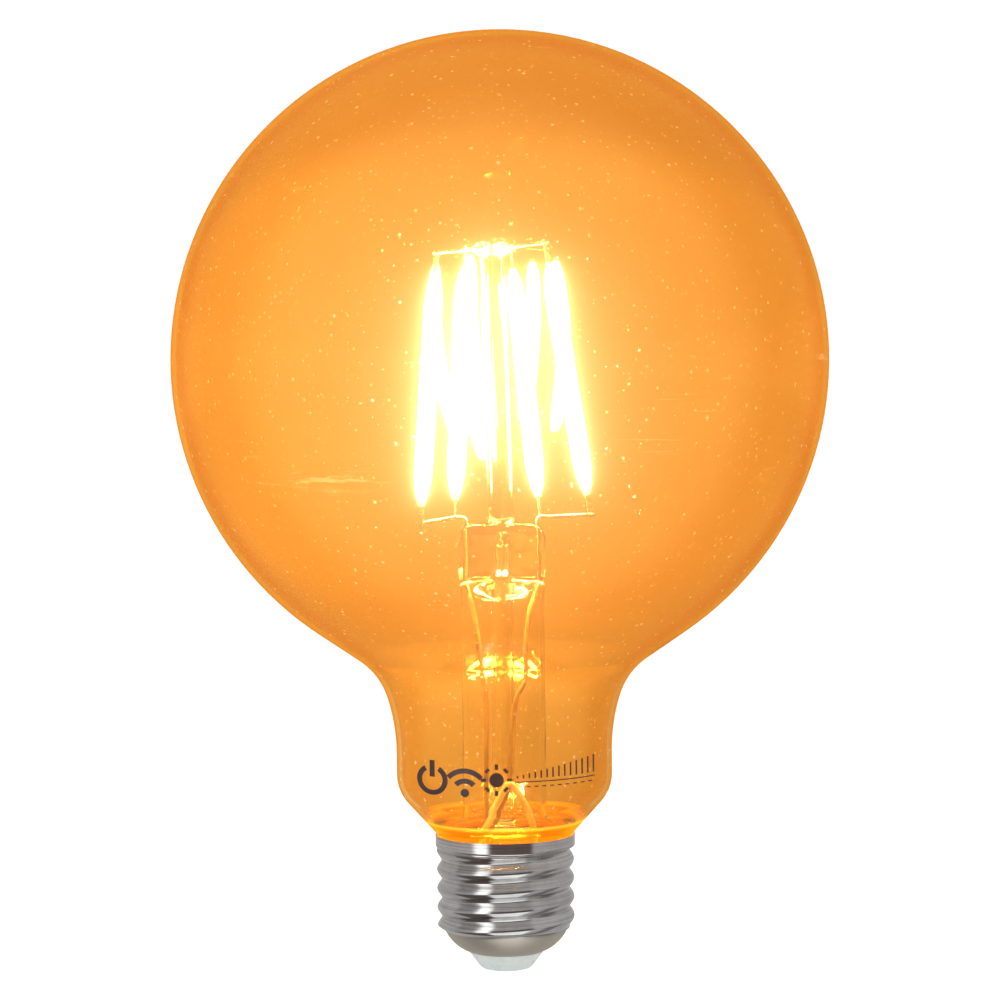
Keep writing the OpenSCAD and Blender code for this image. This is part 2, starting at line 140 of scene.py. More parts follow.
def ramped(tree, value, low, high, out_low=0.0, out_high=1.0, kind="SMOOTHSTEP"):
    """A value taken from one range to another, smoothly unless the kind is LINEAR."""
    node = tree.nodes.new("ShaderNodeMapRange")
    node.interpolation_type = kind
    tree.links.new(value, node.inputs["Value"])
    for label, number in (("From Min", low), ("From Max", high), ("To Min", out_low),
                          ("To Max", out_high)):
        if isinstance(number, (int, float)):
            node.inputs[label].default_value = number
        else:
            tree.links.new(number, node.inputs[label])
    return node.outputs["Result"]


def axes_of(tree, vector):
    """The X, Y and Z of a vector."""
    node = tree.nodes.new("ShaderNodeSeparateXYZ")
    tree.links.new(vector, node.inputs[0])
    return node.outputs


# Seen through the glass, the sweep is a little dimmer to the right, near the floor and at the top
look = axes_of(sky, sky.nodes.new("ShaderNodeTexCoord").outputs["Generated"])
across = ramped(sky, look["X"], -0.11, 0.11, 1.14, 0.88, "LINEAR")
down = ramped(sky, look["Z"], -0.14, -0.08, 0.76, 1.0)
up = ramped(sky, look["Z"], 0.07, 0.105, 1.0, 0.82)
through = math_node(sky, "MULTIPLY", across, math_node(sky, "MULTIPLY", down, up))

# Rays through glass meet that light, mirrored rays meet the amber, and all others plain white
path = sky.nodes.new("ShaderNodeLightPath")
passed = path.outputs["Is Transmission Ray"]
strength = sky.nodes.new("ShaderNodeMix")
sky.links.new(passed, strength.inputs[0])
strength.inputs[2].default_value = 1.0
sky.links.new(through, strength.inputs[3])
plain_light = sky.nodes.new("ShaderNodeBackground")
plain_light.inputs["Color"].default_value = (1, 1, 1, 1)
sky.links.new(strength.outputs[0], plain_light.inputs["Strength"])
mirrored = sky.nodes.new("ShaderNodeBackground")
mirrored.inputs["Color"].default_value = (*amber_glow, 1)
reflected = math_node(sky, "MULTIPLY", path.outputs["Is Glossy Ray"],
                      math_node(sky, "SUBTRACT", 1.0, passed))
either = sky.nodes.new("ShaderNodeMixShader")
sky.links.new(reflected, either.inputs[0])
sky.links.new(plain_light.outputs[0], either.inputs[1])
sky.links.new(mirrored.outputs[0], either.inputs[2])
sky_out = sky.nodes.new("ShaderNodeOutputWorld")
sky.links.new(either.outputs[0], sky_out.inputs[0])

# The tent is a drum round the cap, with an opening in its top for the neck
tent_r = 85 * mm
tent_top = 44 * mm
tent_foot = -60 * mm
tent_opening = 24 * mm
cap_middle = (0, 0, 17 * mm)

bpy.ops.object.select_all(action="DESELECT")
bpy.ops.mesh.primitive_cylinder_add(vertices=96, radius=tent_r, depth=tent_top - tent_foot,
                                    location=(0, 0, (tent_top + tent_foot) / 2))
tent = bpy.context.object
tent.name = "cap_tent"
bpy.ops.object.transform_apply(location=True)
bpy.ops.object.mode_set(mode="EDIT")
bpy.ops.mesh.select_all(action="DESELECT")
bpy.ops.object.mode_set(mode="OBJECT")
for face in tent.data.polygons:
    face.select = face.normal.z > 0.9
bpy.ops.object.mode_set(mode="EDIT")
bpy.ops.mesh.inset(thickness=tent_r - tent_opening)
bpy.ops.mesh.delete(type="ONLY_FACE")
bpy.ops.object.mode_set(mode="OBJECT")
tent.visible_camera = False
tent.visible_diffuse = False
tent.visible_shadow = False
cards = bpy.data.materials.new("tent_cards")
cards.use_nodes = True
card_tree = cards.node_tree
card_tree.nodes.clear()
from_cap = card_tree.nodes.new("ShaderNodeVectorMath")
from_cap.operation = "SUBTRACT"
card_tree.links.new(card_tree.nodes.new("ShaderNodeTexCoord").outputs["Object"], from_cap.inputs[0])
from_cap.inputs[1].default_value = cap_middle
aim = card_tree.nodes.new("ShaderNodeVectorMath")
aim.operation = "NORMALIZE"
card_tree.links.new(from_cap.outputs[0], aim.inputs[0])
aim_axes = axes_of(card_tree, aim.outputs[0])
heading = math_node(card_tree, "ARCTAN2", aim_axes["X"],
                    math_node(card_tree, "MULTIPLY", aim_axes["Y"], -1.0))
height = math_node(card_tree, "ARCSINE", aim_axes["Z"])


def window(tree, angle, low, high, soft):
    """1 where an angle in degrees lies between low and high, fading to 0 over soft degrees."""
    sides = [ramped(tree, angle, math.radians(edge - sense * soft / 2),
                    math.radians(edge + sense * soft / 2)) for edge, sense in ((low, 1), (high, -1))]
    return math_node(tree, "MULTIPLY", *sides)


# How much light each card adds, with its headings, heights and softness in degrees
card_list = [
    (0.48, (-181, 181), (-91, 91), 1),
    (-0.39, (-27, 42), (-17, 14), 7),
    (0.85, (-28, 40), (-66, -20), 8),
    (-0.1, (-27, 42), (16, 60), 14),
    (1.3, (-49, -27), (-14, 42), 11),
    (-0.38, (-92, -26), (-80, -17), 12),
    (-0.28, (66, 100), (-76, -14), 14),
    (-0.2, (-92, -57), (12, 50), 12),
    (-0.1, (-181, 181), (-91, -62), 14),
]
brightness = 0.0
for level, headings, heights, soft in card_list:
    inside = math_node(card_tree, "MULTIPLY", window(card_tree, heading, *headings, soft),
                       window(card_tree, height, *heights, soft))
    brightness = math_node(card_tree, "MULTIPLY_ADD", inside, level, brightness)

outside_light = card_tree.nodes.new("ShaderNodeEmission")
outside_light.inputs["Color"].default_value = (*amber_glow, 1)
inside_light = card_tree.nodes.new("ShaderNodeEmission")
card_tree.links.new(brightness, inside_light.inputs["Strength"])
faces_in = card_tree.nodes.new("ShaderNodeMixShader")
card_tree.links.new(card_tree.nodes.new("ShaderNodeNewGeometry").outputs["Backfacing"],
                    faces_in.inputs[0])
card_tree.links.new(outside_light.outputs[0], faces_in.inputs[1])
card_tree.links.new(inside_light.outputs[0], faces_in.inputs[2])

# Glass makes only sharp rays, and those pass through the tent to the amber light behind it
unseen = card_tree.nodes.new("ShaderNodeMixShader")
tent_path = card_tree.nodes.new("ShaderNodeLightPath")
from_glass = math_node(card_tree, "MAXIMUM", tent_path.outputs["Is Transmission Ray"],
                       tent_path.outputs["Is Singular Ray"])
card_tree.links.new(from_glass, unseen.inputs[0])
card_tree.links.new(faces_in.outputs[0], unseen.inputs[1])
card_tree.links.new(card_tree.nodes.new("ShaderNodeBsdfTransparent").outputs[0], unseen.inputs[2])
cards_out = card_tree.nodes.new("ShaderNodeOutputMaterial")
card_tree.links.new(unseen.outputs[0], cards_out.inputs[0])
tent.data.materials.append(cards)


# ---------------------------------------------------------------- Globe
# A large globe blown in amber glass, drawn down into a neck and then in again for the cap. The
# glass has slight clouds in its tint, fine flecks and dry scuffs, and a band where it is fused to
# the stem. Painted shade deepens its tint towards the rim, and painted glow on the flecks, scuffs
# and fused band stands in for the lamp's light that they catch.

globe_low, globe_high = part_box("globe")
globe_r = globe_high[0]
globe_z = globe_high[2] - globe_r
rim_z = globe_low[2]
wall = 0.9 * mm
neck_r = 20.65 * mm
rim_r = 12.4 * mm

# Below the ball the outline runs straight from the flank, turns down in a tight and a wide bend to
# the neck, and rounds the shoulder into a cone and its foot. Turns are in degrees
flank = 55.6
knee = 17.5
tight_r = 14 * mm
wide_r = 36 * mm
shoulder_r = 8 * mm
shoulder = 41.8
foot_r = 3 * mm


def cos_of(degrees):
    return math.cos(math.radians(degrees))


def sin_of(degrees):
    return math.sin(math.radians(degrees))


flank_len = (globe_r * cos_of(flank) - tight_r * (cos_of(knee) - cos_of(flank))
             - wide_r * (1 - cos_of(knee)) - neck_r) / sin_of(flank)
tight_c = ((globe_r + tight_r) * cos_of(flank) - flank_len * sin_of(flank),
           globe_z - (globe_r + tight_r) * sin_of(flank) - flank_len * cos_of(flank))
wide_c = (neck_r + wide_r, tight_c[1] + (tight_r - wide_r) * sin_of(knee))
shoulder_c = (neck_r - shoulder_r, 38 * mm)
cone_top = (shoulder_c[0] + shoulder_r * cos_of(shoulder),
            shoulder_c[1] - shoulder_r * sin_of(shoulder))
cone_foot_r = rim_r + foot_r * (1 - cos_of(shoulder))
foot_c = (rim_r + foot_r,
          cone_top[1] - (cone_top[0] - cone_foot_r) / math.tan(math.radians(shoulder))
          - foot_r * sin_of(shoulder))


def arc(centre, radius, first, last, steps):
    """Points of an arc in a profile of radius and height. Angles are in degrees."""
    turns = [first + (last - first) * i / steps for i in range(steps + 1)]
    return [(centre[0] + radius * cos_of(a), centre[1] + radius * sin_of(a)) for a in turns]


def globe_line(w):
    """The globe's outline from crown to rim, moved inwards by w."""
    return (arc((0, globe_z), globe_r - w, 90, -flank, 64)
            + arc(tight_c, tight_r + w, 180 - flank, 180 - knee, 12)
            + arc(wide_c, wide_r + w, 180 - knee, 180, 8)
            + arc(shoulder_c, shoulder_r - w, 0, -shoulder, 12)
            + arc(foot_c, foot_r + w, 180 - shoulder, 180, 8)
            + [(rim_r - w, rim_z)])


def finish_mesh(piece, name, angle=40):
    """Names a piece and its mesh, welds it, turns its faces outwards and smooths it."""
    piece.name = name
    piece.data.name = name
    bpy.ops.object.mode_set(mode="EDIT")
    bpy.ops.mesh.select_all(action="SELECT")
    bpy.ops.mesh.remove_doubles(threshold=1e-7)
    bpy.ops.mesh.normals_make_consistent(inside=False)
    bpy.ops.object.mode_set(mode="OBJECT")
    bpy.ops.object.shade_smooth_by_angle(angle=math.radians(angle))


def turned(name, profile, steps=96, angle=40):
    """A piece turned about Z from a closed or axis-to-axis profile of radius and height."""
    bpy.ops.object.select_all(action="DESELECT")
    bpy.ops.mesh.primitive_plane_add(size=mm, location=(0, 0, 0))
    piece = bpy.context.object
    bpy.ops.object.mode_set(mode="EDIT")
    bpy.ops.mesh.merge(type="CENTER")
    radius, z = profile[0]
    bpy.ops.transform.translate(value=(radius, 0, z))
    for next_radius, next_z in profile[1:]:
        step = (next_radius - radius, 0, next_z - z)
        bpy.ops.mesh.extrude_region_move(TRANSFORM_OT_translate={"value": step})
        radius, z = next_radius, next_z
    bpy.ops.mesh.select_all(action="SELECT")
    bpy.ops.mesh.spin(steps=steps, angle=math.tau, center=(0, 0, 0), axis=(0, 0, 1))
    bpy.ops.object.mode_set(mode="OBJECT")
    finish_mesh(piece, name, angle)
    return piece


def new_group(name, inputs, outputs):
    """A shader node group with named inputs, given as (name, kind, value), and named outputs."""
    group = bpy.data.node_groups.new(name, "ShaderNodeTree")
    for label, kind, value in inputs:
        socket = group.interface.new_socket(label, in_out="INPUT", socket_type=kind)
        if value is not None:
            socket.default_value = value
    for label, kind in outputs:
        group.interface.new_socket(label, in_out="OUTPUT", socket_type=kind)
    return group, group.nodes.new("NodeGroupInput"), group.nodes.new("NodeGroupOutput")


def noise_field(tree, vector, scale, detail=3, roughness=0.5):
    """The value of a noise texture."""
    texture = tree.nodes.new("ShaderNodeTexNoise")
    texture.inputs["Detail"].default_value = detail
    texture.inputs["Roughness"].default_value = roughness
    tree.links.new(vector, texture.inputs["Vector"])
    if isinstance(scale, (int, float)):
        texture.inputs["Scale"].default_value = scale
    else:
        tree.links.new(scale, texture.inputs["Scale"])
    return texture.outputs[0]


def mixed(tree, factor, first, second, blend="MIX"):
    """Two colours mixed by a factor. Colours are sockets or (r, g, b)."""
    node = tree.nodes.new("ShaderNodeMix")
    node.data_type = "RGBA"
    node.blend_type = blend
    for socket, value in ((node.inputs[0], factor), (node.inputs[6], first),
                          (node.inputs[7], second)):
        if isinstance(value, (int, float)):
            socket.default_value = value
        elif isinstance(value, tuple):
            socket.default_value = (*value, 1)
        else:
            tree.links.new(value, socket)
    return node.outputs[2]


# Flecks: scattered soft dots of several sizes, as dust and pinholes in a coat
flecks, flecks_in, flecks_out = new_group(
    "flecks",
    [("Vector", "NodeSocketVector", None), ("Spacing", "NodeSocketFloat", 250.0),
     ("Share", "NodeSocketFloat", 0.1), ("Size", "NodeSocketFloat", 0.1)],
    [("Mask", "NodeSocketFloat")])
cells = flecks.nodes.new("ShaderNodeTexVoronoi")
cells.inputs["Randomness"].default_value = 1
flecks.links.new(flecks_in.outputs["Vector"], cells.inputs["Vector"])
flecks.links.new(flecks_in.outputs["Spacing"], cells.inputs["Scale"])
chance = flecks.nodes.new("ShaderNodeSeparateColor")
flecks.links.new(cells.outputs["Color"], chance.inputs[0])
kept = math_node(flecks, "LESS_THAN", chance.outputs[0], flecks_in.outputs["Share"])
reach = math_node(flecks, "MULTIPLY", flecks_in.outputs["Size"],
                  math_node(flecks, "ADD", chance.outputs[1], 0.4))
dot = ramped(flecks, cells.outputs["Distance"], reach, 0.0)
flecks.links.new(math_node(flecks, "MULTIPLY", kept, dot), flecks_out.inputs["Mask"])


def placed_group(tree, group, **values):
    """A node group placed in a material, with its values set or linked."""
    node = tree.nodes.new("ShaderNodeGroup")
    node.node_tree = group
    for label, value in values.items():
        if isinstance(value, (int, float)):
            node.inputs[label].default_value = value
        else:
            tree.links.new(value, node.inputs[label])
    return node


def new_material(name, **values):
    """A Principled material with plain values. Returns it, its tree, its shader and its position."""
    material = bpy.data.materials.new(name)
    material.use_nodes = True
    tree = material.node_tree
    shader = tree.nodes["Principled BSDF"]
    for label, value in values.items():
        socket = shader.inputs[label.replace("_", " ")]
        socket.default_value = (*value, 1) if isinstance(value, tuple) else value
    position = tree.nodes.new("ShaderNodeTexCoord").outputs["Object"]
    return material, tree, shader, position


def stretched(tree, position, scale, turn=(0, 0, 0), centre=(0, 0, 0)):
    """A position moved to a centre, turned and scaled differently along each axis."""
    node = tree.nodes.new("ShaderNodeMapping")
    node.inputs["Location"].default_value = centre
    node.inputs["Rotation"].default_value = turn
    node.inputs["Scale"].default_value = scale
    tree.links.new(position, node.inputs["Vector"])
    return node.outputs[0]


# Tint of the wall seen square on, painted shade aslant and at the rim, then of the fused band and the
# dry spots
amber = (1.0, 0.63, 0.215)
aslant_shade_amber = (0.925, 0.51, 0.115)
rim_shade_amber = (0.84, 0.265, 0.014)
seal_amber = (0.92, 0.62, 0.12)
bare_amber = (1.0, 0.8, 0.46)
seal_z = 29.5 * mm
painted_seal_glow = (1.3, 0.36, 0.0)
painted_seal_edge_glow = (2.2, 1.1, 0.12)
painted_fleck_glow = (1.0, 0.7, 0.34)
glow_strength = 0.3
dry_roughness = 0.16
fleck_kinds = ((1000.0, 0.08, 0.36), (420.0, 0.12, 0.18), (170.0, 0.1, 0.085))

globe_glass, tree, shader, position = new_material("amber_glass", IOR=1.45)
shader.inputs["Transmission Weight"].default_value = 1.0
shader.inputs["Metallic"].default_value = 0.0
edge_on = tree.nodes.new("ShaderNodeLayerWeight")
edge_on.inputs["Blend"].default_value = 0.5
facing = edge_on.outputs["Facing"]
# Painted shade: the tint deepens as the wall is seen more aslant, for the longer light path at the rim
tint = mixed(tree, ramped(tree, facing, 0.26, 0.48), amber, aslant_shade_amber)
tint = mixed(tree, ramped(tree, facing, 0.66, 0.86), tint, rim_shade_amber)
clouds = noise_field(tree, position, 26.0, 5, 0.6)
tint = mixed(tree, ramped(tree, clouds, 0.3, 0.72), tint, (0.97, 0.93, 0.85), "MULTIPLY")
level = axes_of(tree, position)["Z"]
# The band below the seal and a thin line at its top edge carry a painted glow further down
sealed = ramped(tree, level, seal_z + 0.15 * mm, seal_z - 0.15 * mm)
seal_edge = math_node(tree, "MULTIPLY", sealed,
                      ramped(tree, level, seal_z - 0.7 * mm, seal_z - 0.3 * mm))
tint = mixed(tree, sealed, tint, seal_amber, "MULTIPLY")
marks = None
for spacing, share, size in fleck_kinds:
    mask = placed_group(tree, flecks, Vector=position, Spacing=spacing, Share=share,
                        Size=size).outputs[0]
    marks = mask if marks is None else math_node(tree, "MAXIMUM", marks, mask)
scuffs = noise_field(tree, stretched(tree, position, (40, 40, 420), (0, 1.35, 0)), 1.0, 4, 0.7)
patches = noise_field(tree, position, 38.0, 2)
scuffed = math_node(tree, "MULTIPLY", ramped(tree, scuffs, 0.62, 0.75),
                    ramped(tree, patches, 0.52, 0.66))
dry_and_glint = math_node(tree, "MAXIMUM", marks, math_node(tree, "MULTIPLY", scuffed, 0.5))

# A dry smear and a patch of hairlines where the globe was rubbed. Each has its centre and reach in
# millimetres, how fine its streaks are, their turn, and where they start to show
for centre, reach, streaks, turn, low in (
        ((-31, -52, 96.5), (15, 16, 2.6), (110, 110, 900), 0.06, 0.5),
        ((28, -52, 106), (13, 16, 10), (45, 45, 1900), -0.5, 0.6)):
    offset = tuple(-c / r for c, r in zip(centre, reach))
    spot = stretched(tree, position, tuple(1000 / r for r in reach), (0, 0, 0), offset)
    away = tree.nodes.new("ShaderNodeVectorMath")
    away.operation = "LENGTH"
    tree.links.new(spot, away.inputs[0])
    near = ramped(tree, away.outputs["Value"], 1.0, 0.25)
    lines = noise_field(tree, stretched(tree, position, streaks, (0, turn, 0)), 1.0, 4, 0.6)
    rubbed = math_node(tree, "MULTIPLY", near, ramped(tree, lines, low, low + 0.14))
    dry_and_glint = math_node(tree, "MAXIMUM", dry_and_glint, math_node(tree, "MULTIPLY", rubbed, 0.5))
tree.links.new(mixed(tree, dry_and_glint, tint, bare_amber), shader.inputs["Base Color"])
# Painted light: the fused band and its top edge glow, standing in for the filaments' light in the glass
painted_glow = mixed(tree, sealed, (0.0, 0.0, 0.0), painted_seal_glow)
painted_glow = mixed(tree, seal_edge, painted_glow, painted_seal_edge_glow)
# Painted light: flecks, scuffs and rubbed marks glow, standing in for lamp light they catch; their paler
# tint is real wear
tree.links.new(mixed(tree, dry_and_glint, painted_glow, painted_fleck_glow), shader.inputs["Emission Color"])
shader.inputs["Emission Strength"].default_value = glow_strength
tree.links.new(ramped(tree, dry_and_glint, 0.0, 1.0, 0.0, dry_roughness), shader.inputs["Roughness"])

globe = turned("globe_glass", globe_line(0) + globe_line(wall)[::-1], 192, 60)
globe.data.materials.append(globe_glass)
globe.visible_shadow = False
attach(globe, "root")
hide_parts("globe")

# ---------------------------------------------------------------- Stem
# A clear glass tube. Its foot is spread into a flare and fused to the neck, and its top is
# pinched flat while hot around the wires, which leaves a thick, rounded press.

stem_r = 8 * mm
stem_wall = 0.8 * mm
flare_r = 2 * mm
flare_turn = 86.5
flare_c = (stem_r + flare_r, 30.9 * mm)
seam = 0.02 * mm
fused = wall + seam
seal_foot = 24.1 * mm
seal_len = 2 * mm
seal_top = (foot_c[0] - (foot_r + fused) * cos_of(shoulder) + seal_len * sin_of(shoulder),
            foot_c[1] + (foot_r + fused) * sin_of(shoulder) + seal_len * cos_of(shoulder))

press_top = 86 * mm
press_half = (8.3 * mm, 2.5 * mm)
hollow_half = (7.6 * mm, 1.6 * mm)
flat_from = 70.5 * mm
flat_over = 5.4 * mm
hollow_flat_over = 4.4 * mm
press_squareness = 0.72
lump_height = 0.2 * mm


def bumped(tree, shader, height, strength, depth):
    """Gives a surface fine relief from a value."""
    node = tree.nodes.new("ShaderNodeBump")
    node.inputs["Strength"].default_value = strength
    node.inputs["Distance"].default_value = depth
    tree.links.new(height, node.inputs["Height"])
    tree.links.new(node.outputs[0], shader.inputs["Normal"])


clear_glass, tree, shader, position = new_material(
    "clear_glass", IOR=1.5, Roughness=0.0, Base_Color=(1, 0.98, 0.93))
shader.inputs["Transmission Weight"].default_value = 1.0
ripples = noise_field(tree, stretched(tree, position, (420, 420, 60)), 1.0, 2)
bumped(tree, shader, ripples, 0.12, 0.4 * mm)

stem_top = [(0, 86), (2, 86), (4, 86), (5.6, 85.92), (6.6, 85.7), (7.3, 85.25), (7.75, 84.6)]
stem_top += [(7.95, 83.8), (8, 83)] + [(8, 83 - 0.5 * i) for i in range(1, 27)]
stem_line = [(r * mm, z * mm) for r, z in stem_top]
stem_line += arc(flare_c, flare_r, 180, 180 + flare_turn, 12)
stem_line += [seal_top] + arc(foot_c, foot_r + fused, 180 - shoulder, 180, 8)
stem_line += [(rim_r - fused, seal_foot), (rim_r - fused - stem_wall, seal_foot)]
stem_line += arc(foot_c, foot_r + fused + stem_wall, 180, 180 - shoulder, 8)
stem_line += arc(flare_c, flare_r + stem_wall, 180 + flare_turn, 180, 12)
stem_line += [(stem_r - stem_wall, z * mm) for z in (50, 69, 70, 70.5, 71, 71.5, 72, 72.5, 73, 73.5)]
stem_line += [(r * mm, z * mm) for r, z in ((7.15, 74), (6.9, 74.4), (6.3, 74.7), (5, 74.85),
                                             (3, 74.9), (0, 74.9))]
stem = turned("stem_glass", stem_line, 128, 60)


def pressed(spot):
    """Moves a point of the round tube, outer wall or hollow, to its place in the flat press."""
    radius = math.hypot(spot.x, spot.y)
    if spot.z < flat_from or radius < 1e-6:
        return
    inside = radius < 7.5 * mm and spot.z < 75 * mm
    half = hollow_half if inside else press_half
    share = radius / (stem_r - stem_wall if inside else stem_r)
    rise = min(1, (spot.z - flat_from) / (hollow_flat_over if inside else flat_over))
    flat = (3 - 2 * rise) * rise ** 2
    c, s = spot.x / radius, spot.y / radius
    x = half[0] * share * math.copysign(abs(c) ** press_squareness, c)
    y = half[1] * share * math.copysign(abs(s) ** press_squareness, s)
    spot.x += (x - spot.x) * flat
    spot.y += (y - spot.y) * flat


for vertex in stem.data.vertices:
    pressed(vertex.co)
for vertex in stem.data.vertices:
    if vertex.co.z > flat_from:
        share = min(1, (vertex.co.z - flat_from) / (5 * mm))
        lump = noise.noise(vertex.co * 330) + 0.5 * noise.noise(vertex.co * 700)
        vertex.co += vertex.normal * lump * lump_height * share

# The exhaust tube's bore runs on through the press and opens at its front in a blow hole
bore_line = [(0, 72), (2.32, 72), (2.32, 76.02), (1.9, 76.3), (1.3, 77), (1.3, 82.6), (0.8, 83.2),
             (0, 83.4)]
bore = turned("stem_bore", [(r * mm, z * mm) for r, z in bore_line], 48)
bpy.ops.object.select_all(action="DESELECT")
bpy.ops.mesh.primitive_uv_sphere_add(segments=48, ring_count=24, radius=1.6 * mm,
                                     location=(0, -1.9 * mm, 83 * mm))
blow_hole = bpy.context.object
bpy.ops.object.transform_apply(location=True)


def applied(piece, kind, **values):
    """Adds a modifier with its values, and applies it."""
    modifier = piece.modifiers.new(kind.lower(), kind)
    for label, value in values.items():
        setattr(modifier, label, value)
    bpy.ops.object.select_all(action="DESELECT")
    bpy.context.view_layer.objects.active = piece
    piece.select_set(True)
    bpy.ops.object.modifier_apply(modifier=modifier.name)


for cutter in (bore, blow_hole):
    applied(stem, "BOOLEAN", operation="DIFFERENCE", solver="EXACT", object=cutter)
    bpy.data.objects.remove(cutter)
bpy.ops.object.shade_smooth_by_angle(angle=math.radians(60))
stem.data.materials.clear()
stem.data.materials.append(clear_glass)
stem.visible_shadow = False
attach(stem, "root")
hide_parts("stem")

# ---------------------------------------------------------------- Exhaust tube
# The thin glass tube through which the lamp was pumped out and filled with gas. It was melted shut
# at its foot, and its open top is fused into the press.

exhaust_r = 2.3 * mm
exhaust_bore = 1.6 * mm
exhaust_end = 3 * mm
exhaust_low, exhaust_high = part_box("exhaust_tube")
tip_z = exhaust_low[2]
exhaust_top = exhaust_high[2]
exhaust_line = [(0, tip_z)] + arc((0, tip_z + exhaust_r), exhaust_r, -90, 0, 10)[1:]
exhaust_line += [(exhaust_r, exhaust_top), (exhaust_bore, exhaust_top)]
exhaust_line += arc((0, tip_z + exhaust_end), exhaust_bore, 0, -90, 8)
exhaust_tube = turned("exhaust_glass", exhaust_line, 64)
exhaust_tube.data.materials.append(clear_glass)
exhaust_tube.visible_shadow = False
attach(exhaust_tube, "root")
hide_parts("exhaust_tube")

# ---------------------------------------------------------------- Centre post and button
# A solid glass rod welded to the press. Its hot top was pushed down into a button, which grips
# the support wires.

post_r = 2.4 * mm
button_z = 137.1 * mm
button_r = 3.65 * mm
button_h = 2.4 * mm
button_lump = 0.22 * mm
post_lean = 1.6
lean = Matrix.Translation((0, 0, press_top)) @ Matrix.Rotation(math.radians(-post_lean), 4, "Y")
lean = lean @ Matrix.Translation((0, 0, -press_top))

post_line = [(0, press_top - 0.1 * mm), (post_r + 0.9 * mm, press_top - 0.1 * mm)]
post_line += arc((post_r + 1.3 * mm, press_top + 1.2 * mm), 1.3 * mm, 250, 180, 6)
post_line += arc((post_r + 0.7 * mm, button_z - 0.6 * mm), 0.7 * mm, 180, 110, 5)
post_line += arc((button_r - 1 * mm, button_z + 1 * mm), 1 * mm, -70, 0, 6)
post_line += arc((button_r - 1.2 * mm, button_z + button_h - 1.2 * mm), 1.2 * mm, 0, 78, 6)
post_line += [(1 * mm, button_z + button_h - 0.15 * mm), (0, button_z + button_h - 0.2 * mm)]
post = turned("centre_post_glass", post_line, 64)
post.data.transform(lean)
for vertex in post.data.vertices:
    if vertex.co.z > button_z - 0.5 * mm:
        lump = noise.noise(vertex.co * 520) * button_lump
        vertex.co += vertex.normal * lump
post.data.materials.append(clear_glass)
post.visible_shadow = False
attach(post, "root")
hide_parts("centre_post")

# ---------------------------------------------------------------- Support wires and lead-in wires
# Bright nickel wire. Four supports are pushed into the hot button, and two thicker lead-ins stand
# out of the press and spread sideways to feed the filaments.

drawn_marks, drawn_in, drawn_out = new_group(
    "drawn_marks",
    [("Vector", "NodeSocketVector", None), ("Scale", "NodeSocketFloat", 2000.0)],
    [("Value", "NodeSocketFloat")])
drawn_marks.links.new(
    noise_field(drawn_marks, drawn_in.outputs["Vector"], drawn_in.outputs["Scale"], 4, 0.6),
    drawn_out.inputs["Value"])


def metal(name, colour, rough, scale=2000.0, squash=(1, 1, 1), spread=0.12, bumps=0.0):
    """A metal with fine marks that vary its shade, its roughness and its surface."""
    material, tree, shader, position = new_material(name, Metallic=1.0)
    marks = placed_group(tree, drawn_marks, Vector=stretched(tree, position, squash),
                         Scale=scale).outputs[0]
    darker = tuple(0.78 * c for c in colour)
    tree.links.new(mixed(tree, ramped(tree, marks, 0.3, 0.7), darker, colour),
                   shader.inputs["Base Color"])
    tree.links.new(ramped(tree, marks, 0.3, 0.7, rough + spread, rough), shader.inputs["Roughness"])
    if bumps:
        bumped(tree, shader, marks, bumps, 0.1 * mm)
    return material


nickel_wire = metal("nickel_wire", (0.74, 0.72, 0.69), 0.22)


def wire(name, points, diameter, sides=4, fill=True):
    """A round wire along points in millimetres, bent evenly through them."""
    bpy.ops.object.select_all(action="DESELECT")
    bpy.ops.curve.primitive_bezier_curve_add(location=(0, 0, 0))
    piece = bpy.context.object
    line = piece.data.splines[0]
    line.bezier_points.add(len(points) - 2)
    last = len(points) - 1
    for i, knot in enumerate(line.bezier_points):
        here = Vector(points[i]) * mm
        slope = (Vector(points[min(i + 1, last)]) - Vector(points[max(i - 1, 0)])) * mm / 6
        knot.handle_left_type = "FREE"
        knot.handle_right_type = "FREE"
        knot.co = here
        knot.handle_left = here - slope
        knot.handle_right = here + slope
    line.resolution_u = 10
    piece.data.bevel_depth = diameter / 2
    piece.data.bevel_resolution = sides
    piece.data.use_fill_caps = fill
    bpy.ops.object.convert(target="MESH")
    piece = bpy.context.object
    if fill:
        finish_mesh(piece, name, 60)
    return piece


support_d = 0.62 * mm
support_turns = (180, 245, 66, 0)
support_rise = (-1.6, 0, 0, 5)
support_z = 138.3
support_from = 0.9
support_to = 11.1
for k, (turn, rise) in enumerate(zip(support_turns, support_rise)):
    run = Vector((cos_of(turn) * cos_of(rise), sin_of(turn) * cos_of(rise), sin_of(rise)))
    inner_end = Vector((0, 0, support_z)) + run * support_from
    outer_end = Vector((0, 0, support_z)) + run * support_to
    bent = inner_end.lerp(outer_end, 0.6) + Vector((0, 0, 0.06 * (-1) ** k))
    support = wire(f"support_{k + 1}", [inner_end, bent, outer_end], support_d)
    support.data.transform(lean)
    support.data.materials.append(nickel_wire)
    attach(support, "root")
    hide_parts(f"support_wire_{k + 1}")

